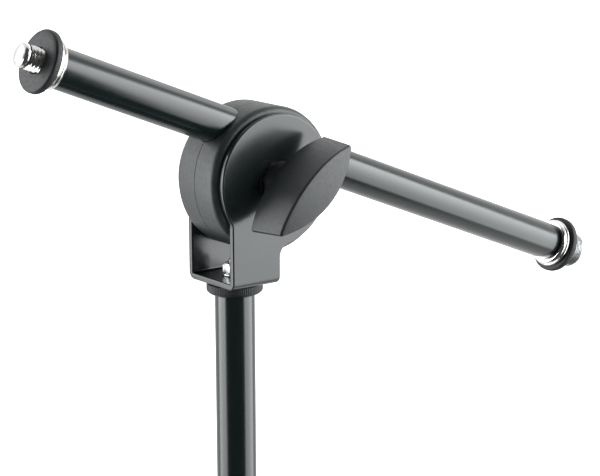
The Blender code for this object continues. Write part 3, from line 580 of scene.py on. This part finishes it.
def hexagon_nut(name, flats, height, bore, chamfer=0.0006):
    """A hexagon nut about Z whose corners are turned off at both faces, with a countersunk bore."""
    corner = flats / sqrt(3)

    def six_sided(angle, radius, _):
        if radius <= bore + 0.0006:
            return radius
        sector = (angle + pi / 6) % (pi / 3) - pi / 6
        return min(radius, flats / 2 / cos(sector))

    half = height / 2
    profile = [
        (bore + 0.0005, half),
        (flats / 2 - 0.0001, half),
        (corner + 0.0001, half - chamfer),
        (corner + 0.0001, chamfer - half),
        (flats / 2 - 0.0001, -half),
        (bore + 0.0005, -half),
        (bore, 0.0005 - half),
        (bore, half - 0.0005),
    ]
    return turned(name, profile, 96, closed=True, shaped=six_sided)


stud_clearance = 0.00265
nut_low, nut_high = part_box("bracket_nut")
nut_mesh = hexagon_nut("bracket_nut", 0.0080, nut_high.z - nut_low.z, stud_clearance)
nut_place = Matrix.Translation((0, 0, (nut_low.z + nut_high.z) / 2))
stand_for("bracket_nut", nut_mesh, zinc.material, nut_place, sharp=25)
washer_low, washer_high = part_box("bracket_washer")
washer_profile = [
    (washer_high.x, washer_high.z),
    (washer_high.x, washer_low.z),
    (stud_clearance, washer_low.z),
    (stud_clearance, washer_high.z),
]
washer_mesh = turned("bracket_washer", softened(washer_profile, 0.0002, 2, closed=True), 64, closed=True)
stand_for("bracket_washer", washer_mesh, zinc.material)


def knurled(outer, ridges, depth, low, high):
    """A fine straight knurl cut into the part of a rim that lies between two heights."""

    def shaped(angle, radius, height):
        if radius < outer - 0.00005 or not low < height < high:
            return radius
        return radius - depth * (0.5 + 0.5 * cos(ridges * angle))

    return shaped


ring_nylon = Finish("ring_nylon", (0.0030, 0.0050, 0.0054), 0.46, specular=0.3)
ring_nylon.mottle(ring_nylon.noise(0.003, 4), (0.0024, 0.0042, 0.0045), (0.0040, 0.0062, 0.0066))
ring_nylon.sheen_of(ring_nylon.noise(0.0012, 3), 0.40, 0.54)
ring_nylon.relief(ring_nylon.noise(0.0004, 2), 0.00003, 0.7)

head_ring_low, head_ring_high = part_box("head_lock_ring")
head_ring_radius = 0.01125
head_ring_bore = 0.0054
head_ring_profile = [
    (head_ring_bore, head_ring_high.z),
    (head_ring_radius - 0.0006, head_ring_high.z),
    (head_ring_radius - 0.0001, head_ring_high.z - 0.0004),
    (head_ring_radius, head_ring_high.z - 0.0007),
    (head_ring_radius, head_ring_low.z + 0.0017),
    (head_ring_radius - 0.0002, head_ring_low.z + 0.0012),
    (head_ring_radius - 0.0010, head_ring_low.z + 0.0004),
    (head_ring_radius - 0.0021, head_ring_low.z),
    (head_ring_bore, head_ring_low.z),
]
head_ring_knurl = knurled(head_ring_radius, 88, 0.00018, head_ring_low.z, head_ring_high.z - 0.0006)
stand_for(
    "head_lock_ring",
    turned("head_lock_ring", head_ring_profile, 528, closed=True, shaped=head_ring_knurl),
    ring_nylon.material,
    sharp=45,
)

# ---------------------------------------------------------------------------------------------------------
# Head bracket. One strip of 2.5 mm steel, blanked with round ends on an offset neck, bent to a U and powder
# coated. A zinc-plated coach bolt sits with its square neck in the rear cheek and points to the knob.
# ---------------------------------------------------------------------------------------------------------
tilt = joints["boom_tilt"]
swivel = Vector(tilt["pos_m"])
bracket_low, bracket_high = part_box("head_bracket")
sheet = 0.0025
bend = 0.0032
bracket_half = bracket_high.y
cheek_radius = bracket_high.x - swivel.x
neck_half = 0.02307 / 2
neck_fillet = 0.005
drop = swivel.z - bracket_low.z
facing_front = Matrix.Translation(swivel) @ Matrix.Rotation(pi / 2, 4, "X")
bolt_clearance = 0.0043
weld = 0.000005


def arc(centre, radius, start, end, steps):
    angles = (start + (end - start) * step / steps for step in range(steps + 1))
    return [(centre[0] + radius * cos(angle), centre[1] + radius * sin(angle)) for angle in angles]


def plate(name, outline, depth):
    """An outline in XY, filled and made thick along Z, half to each side."""
    work = bmesh.new()
    lower = [work.verts.new((x, y, -depth / 2)) for x, y in outline]
    upper = [work.verts.new((x, y, depth / 2)) for x, y in outline]
    work.faces.new(list(reversed(lower)))
    work.faces.new(upper)
    for index in range(len(outline)):
        following = (index + 1) % len(outline)
        work.faces.new((lower[index], lower[following], upper[following], upper[index]))
    bmesh.ops.recalc_face_normals(work, faces=work.faces)
    mesh = bpy.data.meshes.new(name)
    work.to_mesh(mesh)
    work.free()
    return mesh


def carved(name, mesh, tools, placed=Matrix.Identity(4)):
    """The mesh after each (operation, other mesh) in turn, with corners closer than the weld made one."""
    mesh.transform(placed)
    blank = bpy.data.objects.new(name + "_blank", mesh)
    bpy.context.scene.collection.objects.link(blank)
    helpers = [blank]
    for operation, other in tools:
        helper = bpy.data.objects.new(name + "_tool", other)
        bpy.context.scene.collection.objects.link(helper)
        cut = blank.modifiers.new(operation, "BOOLEAN")
        cut.operation = operation
        cut.solver = "EXACT"
        cut.object = helper
        helpers.append(helper)
    bpy.context.view_layer.update()
    result = bpy.data.meshes.new_from_object(blank.evaluated_get(bpy.context.evaluated_depsgraph_get()))
    for helper in helpers:
        bpy.data.objects.remove(helper, do_unlink=True)
    work = bmesh.new()
    work.from_mesh(result)
    bmesh.ops.remove_doubles(work, verts=work.verts, dist=weld)
    work.to_mesh(result)
    work.free()
    result.name = name
    return result


left, right = -swivel.x - neck_half, -swivel.x + neck_half
reach = cheek_radius + neck_fillet
right_centre = (right + neck_fillet, -sqrt(reach**2 - (right + neck_fillet) ** 2))
left_centre = (left - neck_fillet, -sqrt(reach**2 - (left - neck_fillet) ** 2))
right_angle = atan2(right_centre[1], right_centre[0])
left_angle = atan2(left_centre[1], left_centre[0]) + 2 * pi
cheek_outline = [(left, -drop - 0.001), (right, -drop - 0.001)]
cheek_outline += arc(right_centre, neck_fillet, pi, right_angle + pi, 10)
cheek_outline += arc((0, 0), cheek_radius, right_angle, left_angle, 120)[1:]
cheek_outline += arc(left_centre, neck_fillet, left_angle - pi, 0, 8)[1:]

top = cheek_radius + 0.001
inner = bend - sheet
channel_outline = [(-bracket_half, top)]
channel_outline += arc((-bracket_half + bend, -drop + bend), bend, pi, pi * 1.5, 10)
channel_outline += arc((bracket_half - bend, -drop + bend), bend, -pi / 2, 0, 10)
channel_outline += [(bracket_half, top), (bracket_half - sheet, top)]
channel_outline += arc((bracket_half - bend, -drop + bend), inner, 0, -pi / 2, 6)
channel_outline += arc((-bracket_half + bend, -drop + bend), inner, -pi / 2, -pi, 6)
channel_outline += [(-bracket_half + sheet, top)]


def rod_between(name, radius, low, high, steps=64):
    """A plain round tool along Z."""
    return turned(name, [(0, high), (radius, high), (radius, low), (0, low)], steps)


cheek_shape = plate("cheek_shape", cheek_outline, 0.08)
cheek_shape.transform(facing_front)
bolt_hole = rod_between("bolt_hole", bolt_clearance, -0.05, 0.05)
bolt_hole.transform(facing_front)
fixing_hole_radius = 0.0028
fixing_hole = rod_between("fixing_hole", fixing_hole_radius, 0.30, 0.33)
bracket_mesh = carved(
    "head_bracket",
    plate("head_bracket", channel_outline, 0.12),
    [("INTERSECT", cheek_shape), ("DIFFERENCE", bolt_hole), ("DIFFERENCE", fixing_hole)],
    facing_front @ Matrix.Rotation(pi / 2, 4, "Y"),
)
bracket = stand_for("head_bracket", bracket_mesh, powder.material, sharp=40)
edge = bracket.modifiers.new("broken_edge", "BEVEL")
edge.width = 0.0007
edge.segments = 4
edge.limit_method = "ANGLE"
edge.angle_limit = radians(50)
edge.harden_normals = True

bolt_low, bolt_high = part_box("swivel_bolt")
head_face = bracket_half + 0.00015
bolt_head = 0.009
bolt_radius = 0.0040
bolt_point = 0.0032
head_rim = 0.0004
dome_rise = bolt_high.y - head_face
bolt_profile = [(0, head_face + dome_rise)]
bolt_profile += [
    (bolt_head * sin(step * pi / 20), head_face + head_rim + (dome_rise - head_rim) * cos(step * pi / 20))
    for step in range(1, 11)
]
bolt_profile += [
    (bolt_head, head_face),
    (bolt_radius, head_face),
    (bolt_radius, bolt_low.y + 0.0006),
    (bolt_point, bolt_low.y),
    (0, bolt_low.y),
]
facing_rear = Matrix.Translation((swivel.x, 0, swivel.z)) @ Matrix.Rotation(-pi / 2, 4, "X")
bolt_mesh = turned("swivel_bolt", softened(bolt_profile, 0.0003, 2), 96)
stand_for("swivel_bolt", bolt_mesh, zinc.material, facing_rear)

# ---------------------------------------------------------------------------------------------------------
# Clamp. Two glass-filled nylon mouldings that close on the boom like a split block, with a fine parting gap
# between them, rounded outer edges and a hard fibre washer against each cheek.
# ---------------------------------------------------------------------------------------------------------
clamp_nylon = Finish("clamp_nylon", (0.0085, 0.012, 0.0125), 0.44, specular=0.45)
clamp_nylon.mottle(clamp_nylon.noise(0.009, 4), (0.007, 0.010, 0.0105), (0.010, 0.014, 0.0148))
clamp_nylon.sheen_of(clamp_nylon.noise(0.0014, 3), 0.40, 0.52)
clamp_nylon.relief(clamp_nylon.noise(0.00040, 2), 0.00004, 0.8)

clamp_low, clamp_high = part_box("clamp_half_front")
clamp_radius = clamp_high.x - swivel.x
clamp_face = -clamp_low.y
parting = 0.00005
clamp_edge = 0.0026
washer_recess = 0.0193
washer_thickness = 0.0008
boom_toward_mic = Vector(joints["boom_slide"]["axis"])
boom_radius = 0.008
boom_offset = 0.0141
boom_gap = 0.00015
boom_normal = Vector((boom_toward_mic.z, 0, -boom_toward_mic.x))
boom_foot = swivel + boom_normal * boom_offset
boom_place = Matrix.Translation(boom_foot) @ boom_toward_mic.to_track_quat("Z", "Y").to_matrix().to_4x4()
clamp_profile = [
    (washer_recess, clamp_face),
    *[
        (clamp_radius - clamp_edge + clamp_edge * sin(step * pi / 16),
         clamp_face - clamp_edge + clamp_edge * cos(step * pi / 16))
        for step in range(9)
    ],
    (clamp_radius, parting + 0.0001),
    (clamp_radius - 0.0001, parting),
    (bolt_clearance, parting),
    (bolt_clearance, clamp_face - washer_thickness),
    (washer_recess, clamp_face - washer_thickness),
]
for side, facing in (("front", facing_front), ("rear", facing_rear)):
    half_mesh = turned(f"clamp_half_{side}", clamp_profile, 160, closed=True)
    boom_hole = rod_between("boom_hole", boom_radius + boom_gap, -0.06, 0.06, 96)
    boom_hole.transform(boom_place)
    half_mesh = carved(f"clamp_half_{side}", half_mesh, [("DIFFERENCE", boom_hole)], facing)
    stand_for(f"clamp_half_{side}", half_mesh, clamp_nylon.material, sharp=38)

fibre = Finish("hard_fibre", (0.15, 0.09, 0.055), 0.8)
fibre.mottle(fibre.noise(0.002, 4), (0.11, 0.065, 0.04), (0.19, 0.12, 0.075))
fibre.relief(fibre.noise(0.0003, 3), 0.00003, 0.8)
for side in ("front", "rear"):
    dress(f"friction_washer_{side}", fibre.material)

# ---------------------------------------------------------------------------------------------------------
# Wing knob. A large leaf-shaped grip with a crowned face on a round hub, moulded in grained nylon round a
# brass insert that runs on the coach bolt. A plated washer lets it turn against the cheek.
# ---------------------------------------------------------------------------------------------------------
knob_nylon = Finish("knob_nylon", (0.006, 0.008, 0.009), 0.45, specular=0.42)
knob_nylon.mottle(knob_nylon.noise(0.007, 4), (0.005, 0.007, 0.0082), (0.0075, 0.0097, 0.011))
knob_nylon.sheen_of(knob_nylon.noise(0.0012, 3), 0.38, 0.50)
knob_nylon.relief(knob_nylon.cells(0.00055), 0.00004, 0.6)
knob_nylon.relief(knob_nylon.noise(0.0003, 2), 0.00003, 0.7)

knob_length = 0.0472
knob_width = 0.0144
knob_depth = 0.0203
solid_knob_depth = 0.0193
knob_crown = 0.0030
knob_draft = 0.0009
knob_tip = 0.0009
knob_tip_round = 0.0005
knob_angle = radians(42.0)
knob_low, knob_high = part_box("wing_knob")
hub_radius = 0.0082
hub_top = 0.004
pocket_radius, pocket_depth = 0.0068, 0.0132
well_depth = 0.0185
knob_back = -knob_low.y - solid_knob_depth
hub_back = -knob_high.y
half_length, half_width = knob_length / 2, knob_width / 2
leaf_radius = (half_length**2 + half_width**2) / (2 * half_width)
leaf_rise = leaf_radius - half_width
crown_radius = (half_length**2 + knob_crown**2) / (2 * knob_crown)
longer_back = knob_draft * leaf_radius / half_length**2
wider_back = knob_draft / half_width


def leaf(inset, steps=36):
    """The face's outline drawn in by an inset, as two arcs that meet in small round tips."""
    radius = leaf_radius - inset
    tip = max(knob_tip - inset * 0.6, 0.0002)
    spread = acos((leaf_rise + tip) / radius)
    end = radius * sin(spread)
    bulge = knob_tip_round * tip / knob_tip
    turns = [radians(30 * step) for step in range(-2, 3)]
    nose = [(end + bulge * cos(turn), tip * sin(turn)) for turn in turns]
    upper = arc((0, -leaf_rise), radius, pi / 2 - spread, pi / 2 + spread, steps)
    lower = arc((0, leaf_rise), radius, pi * 1.5 - spread, pi * 1.5 + spread, steps)
    return upper + [(-x, -y) for x, y in nose] + lower + nose


def crowned(x):
    """How far the crowned face lies from the knob's back."""
    return knob_depth - crown_radius + sqrt(crown_radius**2 - min(abs(x), half_length) ** 2)


def leaf_body():
    """Drafted side wall, rounded edge and crowned face, as loops of the leaf that step inwards."""
    work = bmesh.new()
    edge_round = 0.0009
    back_round = edge_round * 0.6
    spine_share = 0.5

    def corner(x, y, z):
        """The leaf grows towards its back, by the draft."""
        depth_share = 1 - z / knob_depth
        return work.verts.new((x * (1 + longer_back * depth_share), y * (1 + wider_back * depth_share), z))

    loops = []
    for turn in range(7):
        angle = turn * pi / 12
        loops.append((back_round * (1 - sin(angle)), "back", back_round * (1 - cos(angle))))
    for share in (0.25, 0.5, 0.75):
        loops.append((0.0, "wall", share))
    for turn in range(9):
        angle = turn * pi / 16
        loops.append((edge_round * (1 - cos(angle)), "face", edge_round * (1 - sin(angle))))
    rings = []
    for inset, kind, amount in loops:
        ring = []
        for x, y in leaf(inset):
            height = crowned(x)
            if kind == "back":
                z = amount
            elif kind == "wall":
                z = height * amount
            else:
                z = height - amount
            ring.append(corner(x, y, z))
        rings.append(ring)
    for share in (0.8, 0.6, 0.4, 0.2):
        rings.append([
            corner(x * (share + (1 - share) * 0.55), y * share, crowned(x * (share + (1 - share) * 0.55)))
            for x, y in leaf(edge_round)
        ])
    spine_end = leaf(edge_round)[0][0] * spine_share
    spine = []
    for x, y in leaf(edge_round):
        along = max(-spine_end, min(spine_end, x * spine_share))
        spine.append(corner(along, 0, crowned(along)))
    rings.append(spine)
    for lower, upper in zip(rings, rings[1:]):
        for index in range(len(lower)):
            following = (index + 1) % len(lower)
            work.faces.new((lower[index], lower[following], upper[following], upper[index]))
    work.faces.new(list(reversed(rings[0])))
    bmesh.ops.remove_doubles(work, verts=work.verts, dist=1e-6)
    bmesh.ops.dissolve_degenerate(work, edges=work.edges, dist=1e-6)
    bmesh.ops.recalc_face_normals(work, faces=work.faces)
    mesh = bpy.data.meshes.new("wing_knob")
    work.to_mesh(mesh)
    work.free()
    return mesh


hub_profile = [
    (0, knob_back + hub_top),
    (hub_radius - 0.0012, knob_back + hub_top),
    (hub_radius - 0.0006, knob_back + 0.0002),
    (hub_radius, hub_back + 0.0016),
    (hub_radius, hub_back),
    (0, hub_back),
]
hub_shape = turned("knob_hub", softened(hub_profile, 0.0005, 3), 96)
pocket = rod_between("knob_pocket", pocket_radius, hub_back - 0.002, hub_back + pocket_depth, 64)
well = rod_between("knob_well", bolt_clearance, hub_back - 0.002, hub_back + well_depth, 48)
turned_up = Matrix.Rotation(knob_angle, 4, "Z")
knob_mesh = carved(
    "wing_knob",
    leaf_body(),
    [("UNION", hub_shape), ("DIFFERENCE", pocket), ("DIFFERENCE", well)],
    turned_up @ Matrix.Translation((0, 0, knob_back)),
)
stand_for("wing_knob", knob_mesh, knob_nylon.material, facing_front, sharp=48)

brass = Finish("turned_brass", (0.72, 0.55, 0.26), 0.3, 1.0)
brass.mottle(brass.noise(0.002), (0.66, 0.49, 0.22), (0.78, 0.60, 0.30))
brass.sheen_of(brass.noise(0.0006, 4), 0.22, 0.4)
dress("knob_insert", brass.material)
knob_washer_low, knob_washer_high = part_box("knob_washer")
knob_washer_radius = knob_washer_high.x - swivel.x
knob_washer_profile = [
    (knob_washer_radius, -knob_washer_low.y),
    (knob_washer_radius, -knob_washer_high.y),
    (bolt_clearance, -knob_washer_high.y),
    (bolt_clearance, -knob_washer_low.y),
]
knob_washer_profile = softened(knob_washer_profile, 0.0002, 2, closed=True)
knob_washer_mesh = turned("knob_washer", knob_washer_profile, 64, closed=True)
stand_for("knob_washer", knob_washer_mesh, zinc.material, facing_front)

# ---------------------------------------------------------------------------------------------------------
# Boom. A 16 mm steel tube in the same gloss black as the column, with its ends turned square and broken.
# It lies in the clamp's bore, off the tilt axis, and slides and turns there when the knob is slack.
# ---------------------------------------------------------------------------------------------------------
mic_reach = 0.1032
rear_reach = 0.1680
boom_bore = 0.0070
boom_profile = [
    (boom_radius, mic_reach),
    (boom_radius, -rear_reach),
    (boom_bore, -rear_reach),
    (boom_bore, mic_reach),
]
boom_mesh = turned("boom_tube", softened(boom_profile, 0.0003, 3, closed=True), 96, closed=True)
stand_for("boom_tube", boom_mesh, lacquer.material, boom_place)

# ---------------------------------------------------------------------------------------------------------
# Boom ends. Turned and chromed inserts are pressed into the tube: a twin-lipped flange and a 3/8 inch stud
# with a smooth chamfered nose. Each carries a knurled nylon lock ring, and the rear one a 5/8 inch adapter.
# ---------------------------------------------------------------------------------------------------------
chrome = Finish("polished_chrome", (0.60, 0.59, 0.575), 0.18, 1.0)
chrome.mottle(chrome.noise(0.004), (0.57, 0.56, 0.545), (0.64, 0.63, 0.615))
chrome.sheen_of(chrome.noise(0.0015, 4), 0.12, 0.22)

flange = 0.0042
lip = 0.0104
groove = 0.0094
insert_radius = 0.00685
insert_depth = 0.016
stud_length = 0.0154
thread_crest = 0.00476
thread_root = 0.00388
thread_pitch = 0.0015875
nose = 0.0030
flange_profile = [
    (thread_root, flange),
    (lip, flange),
    (lip, 0.00265),
    (groove, 0.00225),
    (lip - 0.0002, 0.0018),
    (lip - 0.0008, 0.0003),
    (insert_radius, 0.0003),
]
end_profile = [
    (0, stud_length),
    (thread_crest - 0.0011, stud_length),
    (thread_crest - 0.0004, stud_length - 0.0004),
    (thread_crest - 0.0001, stud_length - 0.0011),
    (thread_crest - 0.0001, stud_length - nose + 0.0004),
    (thread_root + 0.0001, stud_length - nose - 0.0002),
    *spaced(thread_root, stud_length - nose - 0.0004, flange + 0.0002, thread_pitch / 12),
    (thread_root, flange),
    *softened(flange_profile, 0.0006, 5)[1:],
    (insert_radius, -insert_depth),
    (0, -insert_depth),
]
stud_cut = screw_thread(
    thread_root, thread_crest, thread_pitch, flange + 0.0001, stud_length - nose - 0.0003, 0.0005
)

ring_back = flange + 0.00015
ring_thickness = 0.0030
ring_face = ring_back + ring_thickness
ring_radius = 0.01215
ring_bore = 0.00492
end_ring_profile = [
    (ring_bore + 0.0004, ring_face + 0.0003),
    (ring_radius * 0.60, ring_face + 0.0003),
    (ring_radius * 0.80, ring_face + 0.00022),
    (ring_radius * 0.93, ring_face + 0.00005),
    (ring_radius * 0.965, ring_face - 0.00015),
    (ring_radius - 0.0001, ring_face - 0.0006),
    (ring_radius, ring_face - 0.0008),
    (ring_radius, ring_back + 0.0005),
    (ring_radius - 0.0003, ring_back + 0.0001),
    (ring_radius - 0.0006, ring_back),
    (ring_bore, ring_back),
    (ring_bore, ring_face - 0.0002),
]
ring_knurl = knurled(ring_radius, 90, 0.00016, ring_back, ring_face)

ends = {
    "mic": Matrix.Translation(boom_foot + boom_toward_mic * mic_reach)
    @ boom_toward_mic.to_track_quat("Z", "Y").to_matrix().to_4x4(),
    "rear": Matrix.Translation(boom_foot - boom_toward_mic * rear_reach)
    @ (-boom_toward_mic).to_track_quat("Z", "Y").to_matrix().to_4x4(),
}
for end, end_place in ends.items():
    insert_mesh = turned(f"{end}_end_insert", end_profile, 96, shaped=stud_cut)
    stand_for(f"{end}_end_insert", insert_mesh, chrome.material, end_place, sharp=60)
    ring_mesh = turned(f"{end}_end_lock_ring", end_ring_profile, 540, closed=True, shaped=ring_knurl)
    stand_for(f"{end}_end_lock_ring", ring_mesh, ring_nylon.material, end_place, sharp=45)

adapter_start = ring_face + 0.00045
adapter_length = 0.0090
adapter_end = adapter_start + adapter_length
adapter_crest = 0.0078
adapter_root = 0.0075
adapter_bore = 0.0049
adapter_pitch = 0.00094
slot_reach, slot_half, slot_span = 0.010, 0.00079, 0.0031
adapter_profile = [
    (0.00555, adapter_end),
    (adapter_crest - 0.0009, adapter_end),
    (adapter_crest - 0.0004, adapter_end - 0.0004),
    *spaced(adapter_root, adapter_end - 0.0007, adapter_start + 0.0003, adapter_pitch / 10),
    (adapter_root, adapter_start),
    (adapter_bore, adapter_start),
    (adapter_bore, adapter_end - 0.0007),
]
adapter_cut = screw_thread(
    adapter_root, adapter_crest, adapter_pitch, adapter_start + 0.0001, adapter_end - 0.0006, 0.0003
)
adapter_mesh = turned("rear_thread_adapter", adapter_profile, 96, closed=True, shaped=adapter_cut)
slot_outline = [
    (-slot_reach, -slot_half),
    (slot_reach, -slot_half),
    (slot_reach, slot_half),
    (-slot_reach, slot_half),
]
slot = plate("adapter_slot", slot_outline, slot_span)
slot.transform(Matrix.Translation((0, 0, adapter_end)) @ Matrix.Rotation(pi / 2, 4, "Z"))
adapter_mesh = carved("rear_thread_adapter", adapter_mesh, [("DIFFERENCE", slot)])
stand_for("rear_thread_adapter", adapter_mesh, zinc.material, ends["rear"], sharp=45)
